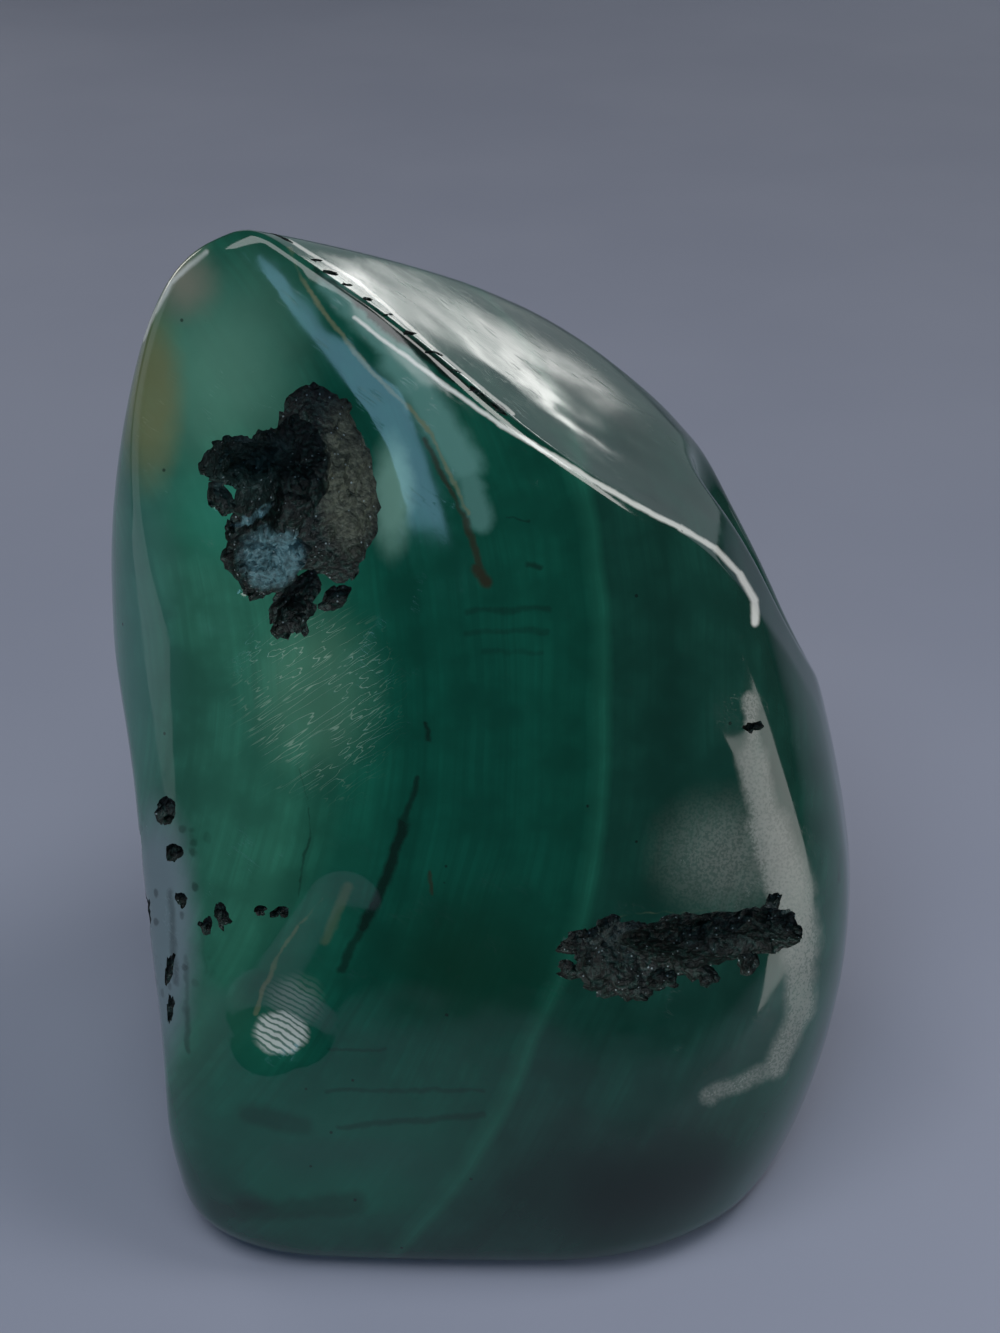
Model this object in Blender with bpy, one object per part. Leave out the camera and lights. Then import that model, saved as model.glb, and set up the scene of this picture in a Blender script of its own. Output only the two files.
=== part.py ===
"""A polished malachite freeform: one hand-ground stone, about 60 mm tall.

Run it with: blender --background --python part.py
The stone stands on its ground foot. +X is its right, +Y its back and +Z up, and the origin is on
the surface it stands on. Sizes are in millimetres here and become metres when the mesh is made.
"""

import math
from collections import namedtuple
from functools import partial

import bmesh
import bpy
import numpy as np
from mathutils import Matrix, Vector

MM = 0.001
HEART = np.array([0.0, 0.0, 29.0])

# The farthest that a search goes out from the heart, and how often it halves what is left.
FARTHEST = 60.0
HALVINGS = 40
SLOPE_STEP = 0.05
TINY = 1e-9

STONE_SUBDIVISIONS = 7
KEPT_SHARE = 0.095

# Chips are balls of few triangles, made ragged by this share of their radius.
CHIP_SUBDIVISIONS = 2
CHIP_SEED = 11
RAGGED = 0.16

# Edges sharper than this many degrees stay sharp in shading.
SHARP_FROM = 35

# The foot is skimmed flat: this much comes off, by a slab that reaches past the stone all round.
FOOT_SKIM = 0.12
SLAB_SIZE = 70.0

POLISHED_GREEN = (0.011, 0.135, 0.074)
POLISHED_ROUGHNESS = 0.14
BROKEN_GREEN = (0.03, 0.07, 0.055)
BROKEN_ROUGHNESS = 0.75

# A face of the stone as the wheel left it. facing turns round the stone from the front (0) to the
# right (90) and the back (180). tilt is how far it looks up. reach is how far it lies from the
# heart. crown is the radius that it bulges with, and edge how broadly it rolls into the faces
# that are listed before it.
Face = namedtuple("Face", "facing tilt reach crown edge")

FACES = {
    "front": Face(facing=8, tilt=22, reach=15.2, crown=500, edge=0),
    "front_upper": Face(facing=6, tilt=33, reach=16.9, crown=500, edge=3),
    "left_front": Face(facing=-12.9, tilt=24.7, reach=16.3, crown=1500, edge=1.2),
    "flute": Face(facing=-1.2, tilt=23.1, reach=14.95, crown=214, edge=0.4),
    "top": Face(facing=93, tilt=57, reach=20.1, crown=500, edge=1.0),
    "top_far": Face(facing=200, tilt=49, reach=29.7, crown=300, edge=2),
    "top_back": Face(facing=150, tilt=48, reach=28.8, crown=300, edge=3),
    "left": Face(facing=-82, tilt=0, reach=24.9, crown=300, edge=6),
    "left_shoulder": Face(facing=-84, tilt=16, reach=30.9, crown=300, edge=5),
    "left_peak": Face(facing=-93, tilt=38, reach=39.3, crown=150, edge=4),
    "peak": Face(facing=-105, tilt=64, reach=38.6, crown=300, edge=4),
    "left_low": Face(facing=-58, tilt=-22, reach=38.2, crown=300, edge=5),
    "front_low": Face(facing=0, tilt=-20, reach=33.1, crown=300, edge=6),
    "right": Face(facing=84, tilt=8, reach=22.8, crown=300, edge=6),
    "right_shoulder": Face(facing=80, tilt=30, reach=20.3, crown=300, edge=5),
    "right_low": Face(facing=61, tilt=-18, reach=31.6, crown=300, edge=8),
    "right_back": Face(facing=122, tilt=5, reach=22.3, crown=300, edge=6),
    "back": Face(facing=164, tilt=-4, reach=22.0, crown=300, edge=6),
    "back_left": Face(facing=-145, tilt=6, reach=22.5, crown=300, edge=8),
    "foot": Face(facing=0, tilt=-90, reach=29.0, crown=math.inf, edge=3),
}

# A smooth hollow ground into the faces: a round-ended groove whose deepest line runs from one aim
# to another. An aim is the facing and tilt of a line out of the heart.
Hollow = namedtuple("Hollow", "start end radius depth edge")

HOLLOWS = {
    "dish": Hollow(start=(-81.8, 50.2), end=(-62.7, 48.7), radius=30, depth=1.45, edge=0.5),
    "saddle": Hollow(start=(60, 74), end=(60, 74), radius=70, depth=1.1, edge=1.0),
    "notch": Hollow(start=(101, 20), end=(113, 32), radius=7, depth=2.4, edge=1.5),
    "channel": Hollow(start=(-28.5, -12), end=(-36, -26), radius=5, depth=0.5, edge=0.5),
    "waist": Hollow(start=(-84, -12), end=(-72, -32), radius=22, depth=1.8, edge=2),
    "low_left": Hollow(start=(-30, -39), end=(-17, -41), radius=8, depth=0.45, edge=0.5),
}

# A chip is a rough break or pit: a jagged lump of stone taken out below the surface where an aim
# leaves it. across, along and deep are its half sizes, sunk is how far its middle lies below the
# surface, and turn rolls it clockwise as seen from outside.
Chip = namedtuple("Chip", "aim across along deep sunk turn")

POCKET = {
    "recess": Chip(aim=(-77, 50), across=2.6, along=1.8, deep=3.0, sunk=0.6, turn=-15),
    "throat": Chip(aim=(-69, 52), across=2.6, along=3.8, deep=4.0, sunk=0.3, turn=10),
    "wall": Chip(aim=(-60, 57), across=3.0, along=5.6, deep=2.4, sunk=-0.1, turn=-12),
    "ledge": Chip(aim=(-64, 43), across=2.2, along=2.6, deep=2.4, sunk=0.2, turn=35),
    "tip": Chip(aim=(-54, 39), across=1.3, along=2.2, deep=1.5, sunk=0, turn=25),
}

FISSURE = {
    "mouth": Chip(aim=(35, -17.3), across=4.6, along=1.9, deep=3.0, sunk=0.3, turn=-2),
    "left_break": Chip(aim=(22, -19.5), across=2.6, along=2.2, deep=1.9, sunk=0, turn=-20),
    "right_break": Chip(aim=(44, -15.5), across=2.8, along=1.4, deep=2.0, sunk=0, turn=8),
    "left_end": Chip(aim=(16, -17), across=1.8, along=0.7, deep=0.8, sunk=0, turn=-10),
}

PITS = {
    "right_slot": Chip(aim=(53, 15.8), across=0.65, along=0.3, deep=0.6, sunk=0, turn=15),
    "channel_pit": Chip(aim=(-38, -11.4), across=0.45, along=0.3, deep=0.5, sunk=0, turn=-20),
    "cap_crack": Chip(aim=(-100, 66), across=1.5, along=0.45, deep=0.7, sunk=0, turn=-15),
    "notch_pit": Chip(aim=(116, 34), across=0.7, along=0.7, deep=0.8, sunk=0, turn=0),
    "flank_a": Chip(aim=(-58, 0), across=0.7, along=0.9, deep=0.6, sunk=0, turn=20),
    "flank_b": Chip(aim=(-64, -8), across=0.9, along=1.3, deep=0.8, sunk=0, turn=-10),
    "flank_c": Chip(aim=(-59, -16), across=0.8, along=1.5, deep=0.8, sunk=0, turn=5),
    "flank_d": Chip(aim=(-57, -25), across=0.8, along=1.4, deep=0.7, sunk=0, turn=-15),
    "flank_e": Chip(aim=(-53, -31), across=0.6, along=0.8, deep=0.6, sunk=0, turn=10),
    "flank_f": Chip(aim=(-51.5, -10.5), across=0.4, along=0.5, deep=0.4, sunk=0, turn=0),
    "flank_g": Chip(aim=(-47, -13), across=0.4, along=0.6, deep=0.4, sunk=0, turn=15),
    "edge_mark": Chip(aim=(-88, 22), across=0.5, along=1.6, deep=0.5, sunk=0, turn=5),
    "back_pit": Chip(aim=(170, 12), across=1.5, along=1.0, deep=0.9, sunk=0, turn=30),
    "back_nick": Chip(aim=(-150, -14), across=0.8, along=1.4, deep=0.8, sunk=0, turn=-20),
}


def outward(facing, tilt):
    """The direction that a face looks in."""
    turn, lift = math.radians(facing), math.radians(tilt)
    return np.array(
        [math.sin(turn) * math.cos(lift), -math.cos(turn) * math.cos(lift), math.sin(lift)]
    )


def beyond(points, face):
    """How far outside a ground face each point lies. It is negative inside the stone."""
    offset = points - HEART
    height = offset @ outward(face.facing, face.tilt)
    spread = (offset**2).sum(axis=1) - height**2
    return height - face.reach + spread / (2 * face.crown)


def soft_max(a, b, edge):
    """The larger of two distances, with the crease between them rolled over."""
    near = np.clip(1 - np.abs(a - b) / edge, 0, None)
    return np.maximum(a, b) + edge * near**2 / 4


def faces_field(points):
    """The distance outside the ground faces, roughly in millimetres."""
    first, *others = FACES.values()
    value = beyond(points, first)
    for face in others:
        value = soft_max(value, beyond(points, face), face.edge)
    return value


def surface_along(directions, measure):
    """Where lines from the heart leave the stone."""
    inner, outer = np.zeros(len(directions)), np.full(len(directions), FARTHEST)
    for _ in range(HALVINGS):
        middle = (inner + outer) / 2
        outside = measure(HEART + directions * middle[:, None]) > 0
        outer, inner = np.where(outside, middle, outer), np.where(outside, inner, middle)
    return HEART + directions * ((inner + outer) / 2)[:, None]


def slope(points):
    """The direction in which the ground faces look at each point."""
    steps = np.eye(3) * SLOPE_STEP
    rise = np.stack([faces_field(points + step) - faces_field(points - step) for step in steps], axis=1)
    return rise / np.linalg.norm(rise, axis=1)[:, None]


def hollow_centres(hollow):
    """The two ends of the line that a hollow is rounded about."""
    aims = np.array([outward(*hollow.start), outward(*hollow.end)])
    ends = surface_along(aims, faces_field)
    return ends + slope(ends) * (hollow.radius - hollow.depth)


CENTRES = {name: hollow_centres(hollow) for name, hollow in HOLLOWS.items()}


def field(points):
    """The distance outside the stone with its hollows."""
    value = faces_field(points)
    for name, hollow in HOLLOWS.items():
        start, end = CENTRES[name]
        axis = end - start
        length = max(axis @ axis, TINY)
        along = np.clip((points - start) @ axis / length, 0, 1)
        gap = np.linalg.norm(points - start - along[:, None] * axis, axis=1)
        value = soft_max(value, hollow.radius - gap, hollow.edge)
    return value


def chip_place(directions, chip, rng):
    """A jagged lump, laid on the surface where the chip's aim leaves the stone."""
    spot = surface_along(outward(*chip.aim)[None], field)
    out = slope(spot)[0]
    side = np.cross([0, 0, 1], out)
    side /= np.linalg.norm(side)
    rise = np.cross(out, side)
    turn = math.radians(chip.turn)
    across = side * math.cos(turn) - rise * math.sin(turn)
    along = side * math.sin(turn) + rise * math.cos(turn)
    lump = directions * rng.uniform(1 - RAGGED, 1 + RAGGED, len(directions))[:, None]
    frame = np.array([across * chip.across, along * chip.along, out * chip.deep])
    return spot[0] - out * chip.sunk + lump @ frame


def object_of(name, shape, material):
    """An object from a bmesh, shaded smooth between its sharp edges."""
    mesh = bpy.data.meshes.new(name)
    shape.to_mesh(mesh)
    shape.free()
    mesh.materials.append(material)
    mesh.shade_smooth()
    mesh.set_sharp_from_angle(angle=math.radians(SHARP_FROM))
    return bpy.data.objects.new(name, mesh)


def balls_object(name, subdivisions, places, material):
    """Round balls in one object, each with its points moved to where its place puts them."""
    shape = bmesh.new()
    for place in places:
        verts = bmesh.ops.create_icosphere(shape, subdivisions=subdivisions, radius=1)["verts"]
        directions = np.array([vert.co[:] for vert in verts])
        directions /= np.linalg.norm(directions, axis=1)[:, None]
        for vert, spot in zip(verts, place(directions)):
            vert.co = spot * MM
    return object_of(name, shape, material)


def chips_object(name, chips, rng, material):
    """A cutter for chips that don't touch each other."""
    places = [partial(chip_place, chip=chip, rng=rng) for chip in chips]
    return balls_object(name, CHIP_SUBDIVISIONS, places, material)


def slab_object(name, top, material):
    """A flat block that ends at a height above the ground."""
    shape = bmesh.new()
    down = Matrix.Translation((0, 0, top * MM - SLAB_SIZE * MM / 2))
    bmesh.ops.create_cube(shape, size=SLAB_SIZE * MM, matrix=down)
    return object_of(name, shape, material)


def origin_of(mesh):
    """The spot that becomes the origin: under the middle of the box, where the foot is skimmed."""
    points = np.array([vert.co[:] for vert in mesh.vertices])
    middle = (points.min(axis=0) + points.max(axis=0)) / 2
    return Vector((middle[0], middle[1], FOOT_SKIM * MM))


def cut(stone, cutter, collection):
    """Takes the cutter out of the stone."""
    collection.objects.link(cutter)
    cutter.hide_render = True
    cutter.display_type = "WIRE"
    knife = stone.modifiers.new(cutter.name, "BOOLEAN")
    knife.operation = "DIFFERENCE"
    knife.solver = "EXACT"
    knife.object = cutter


def named_collection(name):
    group = bpy.data.collections.new(name)
    bpy.context.scene.collection.children.link(group)
    return group


def finish_of(name, colour, roughness):
    material = bpy.data.materials.new(name)
    material.use_nodes = True
    shader = material.node_tree.nodes["Principled BSDF"]
    shader.inputs["Base Color"].default_value = (*colour, 1)
    shader.inputs["Roughness"].default_value = roughness
    shader.inputs["Metallic"].default_value = 0
    return material


def clear_scene():
    for item in list(bpy.data.objects):
        bpy.data.objects.remove(item)


def main():
    clear_scene()
    parts = named_collection("polished_malachite_stone")
    cutters = named_collection("cutters")
    polish = finish_of("polished_malachite", POLISHED_GREEN, POLISHED_ROUGHNESS)
    rough = finish_of("rough_malachite", BROKEN_GREEN, BROKEN_ROUGHNESS)

    ground = partial(surface_along, measure=field)
    stone = balls_object("malachite_stone", STONE_SUBDIVISIONS, [ground], polish)
    parts.objects.link(stone)

    rng = np.random.default_rng(CHIP_SEED)
    for name, chip in {**POCKET, **FISSURE}.items():
        cut(stone, chips_object(name, [chip], rng, rough), cutters)
    cut(stone, chips_object("pits", PITS.values(), rng, rough), cutters)

    thin = stone.modifiers.new("fewer_triangles", "DECIMATE")
    thin.ratio = KEPT_SHARE
    cut(stone, slab_object("foot_slab", FOOT_SKIM, polish), cutters)

    shift = Matrix.Translation(-origin_of(stone.data))
    for item in [*parts.objects, *cutters.objects]:
        item.data.transform(shift)


main()
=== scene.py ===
# %% [markdown]
# # A polished malachite freeform
#
# The object is one piece of natural malachite, about 60 mm tall. Someone ground it by hand into
# a leaning pebble with broad flat faces, polished it, and left two rough breaks as they were.
#
# There are no other pieces, so this lesson has two subjects: how to grind a stone with formulas,
# and how to make a polish that looks deep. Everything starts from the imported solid, which says
# where the stone stands and how large it is.

import math
from collections import namedtuple
from functools import partial

import bmesh
import bpy
import numpy as np
from mathutils import Matrix, Vector, noise


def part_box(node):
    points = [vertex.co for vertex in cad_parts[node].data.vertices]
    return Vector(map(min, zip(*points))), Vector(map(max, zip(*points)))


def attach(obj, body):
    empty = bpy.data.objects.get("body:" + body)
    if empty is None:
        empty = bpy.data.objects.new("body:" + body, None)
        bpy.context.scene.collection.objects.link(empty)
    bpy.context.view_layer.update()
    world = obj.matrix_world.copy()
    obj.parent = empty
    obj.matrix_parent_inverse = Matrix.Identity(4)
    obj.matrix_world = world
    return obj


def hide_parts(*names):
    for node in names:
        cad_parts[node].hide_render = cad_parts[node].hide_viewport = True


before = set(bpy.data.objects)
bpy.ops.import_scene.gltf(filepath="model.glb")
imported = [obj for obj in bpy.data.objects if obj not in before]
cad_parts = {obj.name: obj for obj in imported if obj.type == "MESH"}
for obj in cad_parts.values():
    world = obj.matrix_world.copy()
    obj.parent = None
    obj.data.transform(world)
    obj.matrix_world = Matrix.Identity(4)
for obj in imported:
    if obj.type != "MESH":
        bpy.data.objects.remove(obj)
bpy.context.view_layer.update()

# %% [markdown]
# ## The camera
#
# The stone is seen from in front and a little above. The lens and the distance go together: a
# near camera makes the front of a small thing look larger than its back, so the distance is what
# sets how much the top face narrows away from us. Sizes are written in millimetres, as a
# stone cutter would, and MM turns them into Blender's metres.

# %% Place the camera
MM = 0.001
CAMERA_TARGET = Vector((0.53, 1.05, 31.48))
CAMERA_DISTANCE = 128.0
CAMERA_PITCH = 30.0
CAMERA_LENS = 52.0


def place_camera():
    """A camera in front of the stone that looks down at it."""
    pitch = math.radians(CAMERA_PITCH)
    towards_camera = Vector((0, -math.cos(pitch), math.sin(pitch)))
    camera = bpy.data.objects.new("camera", bpy.data.cameras.new("camera"))
    camera.data.lens = CAMERA_LENS
    camera.data.clip_start = MM
    camera.location = (CAMERA_TARGET + towards_camera * CAMERA_DISTANCE) * MM
    camera.rotation_euler = (-towards_camera).to_track_quat("-Z", "Y").to_euler()
    bpy.context.scene.collection.objects.link(camera)
    bpy.context.scene.camera = camera
    return camera


camera = place_camera()
print("The camera is at", tuple(round(value, 4) for value in camera.location))

# %% [markdown]
# ## The ground faces
#
# A stone like this is shaped by pressing it against a flat wheel, first one way, then another.
# So each face here is a plane: which way it looks, how far it lies from the heart of the stone,
# how much it bulges, and how softly it rolls over into the faces that came before it.
#
# All the planes together make one formula, a distance field. It is negative inside the stone and
# positive outside. A field is a good way to shape a stone, because the faces may overlap freely,
# and each crease can be as sharp or as soft as the wheel left it.

# %% List the ground faces
HEART = np.array([0.0, 0.0, 29.0])

Face = namedtuple("Face", "facing tilt reach crown edge")

FACES = {
    "front": Face(facing=8, tilt=22, reach=15.2, crown=500, edge=0),
    "front_upper": Face(facing=6, tilt=33, reach=16.9, crown=500, edge=3),
    "left_front": Face(facing=-12.9, tilt=24.7, reach=16.3, crown=1500, edge=1.2),
    "flute": Face(facing=-1.2, tilt=23.1, reach=14.95, crown=214, edge=0.25),
    "top": Face(facing=93, tilt=57, reach=20.1, crown=500, edge=0.4),
    "top_far": Face(facing=200, tilt=49, reach=29.7, crown=300, edge=2),
    "top_back": Face(facing=150, tilt=48, reach=28.8, crown=300, edge=3),
    "left": Face(facing=-82, tilt=0, reach=24.9, crown=300, edge=6),
    "left_shoulder": Face(facing=-84, tilt=16, reach=30.9, crown=300, edge=5),
    "left_peak": Face(facing=-93, tilt=38, reach=39.3, crown=150, edge=4),
    "peak": Face(facing=-105, tilt=64, reach=38.6, crown=300, edge=4),
    "left_low": Face(facing=-58, tilt=-22, reach=38.2, crown=300, edge=5),
    "front_low": Face(facing=0, tilt=-20, reach=33.1, crown=300, edge=6),
    "right": Face(facing=84, tilt=8, reach=22.8, crown=300, edge=6),
    "right_shoulder": Face(facing=80, tilt=30, reach=20.3, crown=300, edge=5),
    "right_low": Face(facing=61, tilt=-18, reach=31.6, crown=300, edge=8),
    "right_back": Face(facing=122, tilt=5, reach=22.3, crown=300, edge=6),
    "back": Face(facing=164, tilt=-4, reach=22.0, crown=300, edge=6),
    "back_left": Face(facing=-145, tilt=6, reach=22.5, crown=300, edge=8),
    "foot": Face(facing=0, tilt=-90, reach=29.0, crown=math.inf, edge=3),
}


def outward(facing, tilt):
    """The direction that a face looks in. Facing 0 is the front and 90 the right."""
    turn, lift = math.radians(facing), math.radians(tilt)
    return np.array(
        [math.sin(turn) * math.cos(lift), -math.cos(turn) * math.cos(lift), math.sin(lift)]
    )


def beyond(points, face):
    """How far outside a ground face each point lies."""
    offset = points - HEART
    height = offset @ outward(face.facing, face.tilt)
    spread = (offset**2).sum(axis=1) - height**2
    return height - face.reach + spread / (2 * face.crown)


def soft_max(a, b, edge):
    """The larger of two distances, with the crease between them rolled over."""
    near = np.clip(1 - np.abs(a - b) / edge, 0, None)
    return np.maximum(a, b) + edge * near**2 / 4


def faces_field(points):
    """The distance outside all the ground faces."""
    first, *others = FACES.values()
    value = beyond(points, first)
    for face in others:
        value = soft_max(value, beyond(points, face), face.edge)
    return value


print("The stone has", len(FACES), "ground faces")

# %% [markdown]
# ## From a formula to points
#
# The stone has no overhangs as seen from its heart, so every line out of the heart leaves it just
# once. Halving a search distance again and again finds where. The slope of the field at that
# spot is the direction in which the polished surface looks, which tells us later where the
# mesh needs more points.

# %% Search along lines from the heart
FARTHEST = 60.0
HALVINGS = 34
SLOPE_STEP = 0.03


def surface_along(directions, measure):
    """Where lines from the heart leave the stone."""
    inner, outer = np.zeros(len(directions)), np.full(len(directions), FARTHEST)
    for _ in range(HALVINGS):
        middle = (inner + outer) / 2
        outside = measure(HEART + directions * middle[:, None]) > 0
        outer, inner = np.where(outside, middle, outer), np.where(outside, inner, middle)
    return HEART + directions * ((inner + outer) / 2)[:, None]


def unit(vectors):
    """The same directions with length 1."""
    return vectors / np.linalg.norm(vectors, axis=-1, keepdims=True)


def slope(points, measure):
    """The direction in which the surface looks at each point."""
    steps = np.eye(3) * SLOPE_STEP
    rise = [measure(points + step) - measure(points - step) for step in steps]
    return unit(np.stack(rise, axis=1))


peak = surface_along(outward(-100, 66)[None], faces_field)[0]
print("The peak of the stone is at", peak.round(1), "mm")

# %% [markdown]
# ## The hollows
#
# A wheel's rim or a finger of sandpaper leaves hollows as well. Each one is a round-ended groove
# whose deepest line runs from one aim to another, where an aim is a direction out of the heart.
# A hollow is taken out of the field with the same soft crease.

# %% List the hollows
TINY = 1e-9

Hollow = namedtuple("Hollow", "start end radius depth edge")

HOLLOWS = {
    "dish": Hollow(start=(-80.5, 50.0), end=(-62.0, 49.0), radius=42, depth=1.15, edge=0.3),
    "saddle": Hollow(start=(60, 74), end=(60, 74), radius=70, depth=1.1, edge=1.0),
    "notch": Hollow(start=(101, 20), end=(113, 32), radius=7, depth=2.4, edge=1.5),
    "channel": Hollow(start=(-28.5, -12), end=(-36, -26), radius=5, depth=0.5, edge=0.3),
    "channel_end": Hollow(start=(-36.5, -23.5), end=(-33.0, -25.5), radius=4, depth=0.8, edge=0.3),
    "waist": Hollow(start=(-84, -12), end=(-72, -32), radius=22, depth=1.8, edge=2),
    "low_left": Hollow(start=(-30, -39), end=(-17, -41), radius=8, depth=0.45, edge=0.3),
}


def hollow_centres(hollow):
    """The two ends of the line that a hollow is rounded about."""
    aims = np.array([outward(*hollow.start), outward(*hollow.end)])
    ends = surface_along(aims, faces_field)
    return ends + slope(ends, faces_field) * (hollow.radius - hollow.depth)


CENTRES = {name: hollow_centres(hollow) for name, hollow in HOLLOWS.items()}


def field(points):
    """The distance outside the stone with its hollows."""
    value = faces_field(points)
    for name, hollow in HOLLOWS.items():
        start, end = CENTRES[name]
        axis = end - start
        length = max(axis @ axis, TINY)
        along = np.clip((points - start) @ axis / length, 0, 1)
        gap = np.linalg.norm(points - start - along[:, None] * axis, axis=1)
        value = soft_max(value, hollow.radius - gap, hollow.edge)
    return value


print("The stone has", len(HOLLOWS), "hollows")

# %% [markdown]
# ## A ball that becomes the stone
#
# The mesh starts as an icosphere, which has even triangles all over, and each of its points moves
# out or in to the surface. Even triangles are wasted on flat faces and too few on a crisp ridge.
# So the ball is refined: wherever the surface turns a lot between the two ends of an edge, that
# edge is split and the new point is put on the surface too. The ridge gets triangles a tenth of
# a millimetre wide, and the flat faces keep theirs.

# %% Grow the ball and refine it
BALL_SUBDIVISIONS = 7
REFINE_ROUNDS = 3
SHARPEST_TURN = 5.0
SHORTEST_EDGE = 0.1


def grow(verts, measure):
    """Moves points to the surface along lines from the heart."""
    places = np.array([vert.co[:] for vert in verts])
    places = surface_along(unit(places - HEART), measure)
    for vert, place in zip(verts, places):
        vert.co = place


def edges_to_split(shape):
    """The edges across which the surface turns more than it should."""
    shape.verts.index_update()
    places = np.array([vert.co[:] for vert in shape.verts])
    looks = slope(places, field)
    ends = np.array([[vert.index for vert in edge.verts] for edge in shape.edges])
    agree = np.clip((looks[ends[:, 0]] * looks[ends[:, 1]]).sum(axis=1), -1, 1)
    length = np.linalg.norm(places[ends[:, 0]] - places[ends[:, 1]], axis=1)
    turned = np.degrees(np.arccos(agree)) > SHARPEST_TURN
    shape.edges.ensure_lookup_table()
    return [shape.edges[i] for i in np.flatnonzero(turned & (length > SHORTEST_EDGE))]


def ground_stone():
    """The stone's polished surface, in millimetres."""
    shape = bmesh.new()
    around = Matrix.Translation(HEART.tolist())
    bmesh.ops.create_icosphere(shape, subdivisions=BALL_SUBDIVISIONS, radius=1, matrix=around)
    grow(shape.verts, field)
    for _ in range(REFINE_ROUNDS):
        old = set(shape.verts)
        bmesh.ops.subdivide_edges(shape, edges=edges_to_split(shape), cuts=1)
        bmesh.ops.triangulate(shape, faces=[face for face in shape.faces if len(face.verts) > 3])
        grow([vert for vert in shape.verts if vert not in old], field)
    return shape


stone_shape = ground_stone()
print("The refined ball has", len(stone_shape.faces), "triangles")

# %% [markdown]
# ## The breaks
#
# Malachite doesn't break smoothly. It comes off in small flat flakes with a grainy surface. On
# this stone one break lies in the oval hollow, one runs across the lower right as a ledge, and
# small pits follow the soft layers down the left side.
#
# Each break is a lump that is cut out of the stone. The lump starts as a ball too. Random flat
# flakes are taken off it, and then every point is moved a little, so that the ball's surface turns
# into many small tilted facets. The Boolean modifier takes the lump out, and the stone keeps the
# lump's roughness as its own.

# %% List the breaks
Chip = namedtuple("Chip", "aim across along deep sunk turn")

POCKET = {
    "recess": Chip(aim=(-75.5, 50), across=2.2, along=1.6, deep=3.0, sunk=0.6, turn=-15),
    "throat": Chip(aim=(-69, 52), across=2.6, along=3.8, deep=4.0, sunk=0.3, turn=10),
    "wall": Chip(aim=(-60, 57), across=3.0, along=5.6, deep=2.4, sunk=-0.1, turn=-12),
    "ledge": Chip(aim=(-64, 43), across=2.2, along=2.6, deep=2.4, sunk=0.2, turn=35),
    "tip": Chip(aim=(-54, 39), across=1.3, along=2.2, deep=1.5, sunk=0, turn=25),
}

FISSURE = {
    "mouth": Chip(aim=(35, -17.3), across=4.6, along=1.9, deep=3.0, sunk=0.3, turn=-2),
    "left_break": Chip(aim=(22, -19.5), across=2.6, along=2.2, deep=1.9, sunk=0, turn=-20),
    "right_break": Chip(aim=(44, -15.5), across=2.8, along=1.4, deep=2.0, sunk=0, turn=8),
    "left_end": Chip(aim=(16, -17), across=1.8, along=0.7, deep=0.8, sunk=0, turn=-10),
}

PITS = {
    "right_slot": Chip(aim=(53, 15.8), across=0.65, along=0.3, deep=0.6, sunk=0, turn=15),
    "channel_pit": Chip(aim=(-38, -11.4), across=0.45, along=0.3, deep=0.5, sunk=0, turn=-20),
    "cap_crack": Chip(aim=(-100, 66), across=1.5, along=0.45, deep=0.7, sunk=0, turn=-15),
    "notch_pit": Chip(aim=(116, 34), across=0.7, along=0.7, deep=0.8, sunk=0, turn=0),
    "flank_a": Chip(aim=(-58, 0), across=0.7, along=0.9, deep=0.6, sunk=0, turn=20),
    "flank_b": Chip(aim=(-64, -8), across=0.9, along=1.3, deep=0.8, sunk=0, turn=-10),
    "flank_c": Chip(aim=(-59, -16), across=0.8, along=1.5, deep=0.8, sunk=0, turn=5),
    "flank_d": Chip(aim=(-57, -25), across=0.8, along=1.4, deep=0.7, sunk=0, turn=-15),
    "flank_e": Chip(aim=(-53, -31), across=0.6, along=0.8, deep=0.6, sunk=0, turn=10),
    "flank_f": Chip(aim=(-51.5, -10.5), across=0.4, along=0.5, deep=0.4, sunk=0, turn=0),
    "flank_g": Chip(aim=(-47, -13), across=0.4, along=0.6, deep=0.4, sunk=0, turn=15),
    "flank_h": Chip(aim=(-45.3, -11.7), across=0.5, along=0.8, deep=0.5, sunk=0, turn=-20),
    "flank_i": Chip(aim=(-40.5, -11.2), across=0.35, along=0.3, deep=0.3, sunk=0, turn=0),
    "flank_j": Chip(aim=(-51, -19), across=0.35, along=1.1, deep=0.4, sunk=0, turn=8),
    "flank_k": Chip(aim=(-49.8, -23.5), across=0.3, along=1.0, deep=0.4, sunk=0, turn=-6),
    "flank_l": Chip(aim=(-54.6, -5), across=0.5, along=0.7, deep=0.5, sunk=0, turn=30),
    "edge_mark": Chip(aim=(-88, 22), across=0.5, along=1.6, deep=0.5, sunk=0, turn=5),
    "back_pit": Chip(aim=(170, 12), across=1.5, along=1.0, deep=0.9, sunk=0, turn=30),
    "back_nick": Chip(aim=(-150, -14), across=0.8, along=1.4, deep=0.8, sunk=0, turn=-20),
}

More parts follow.
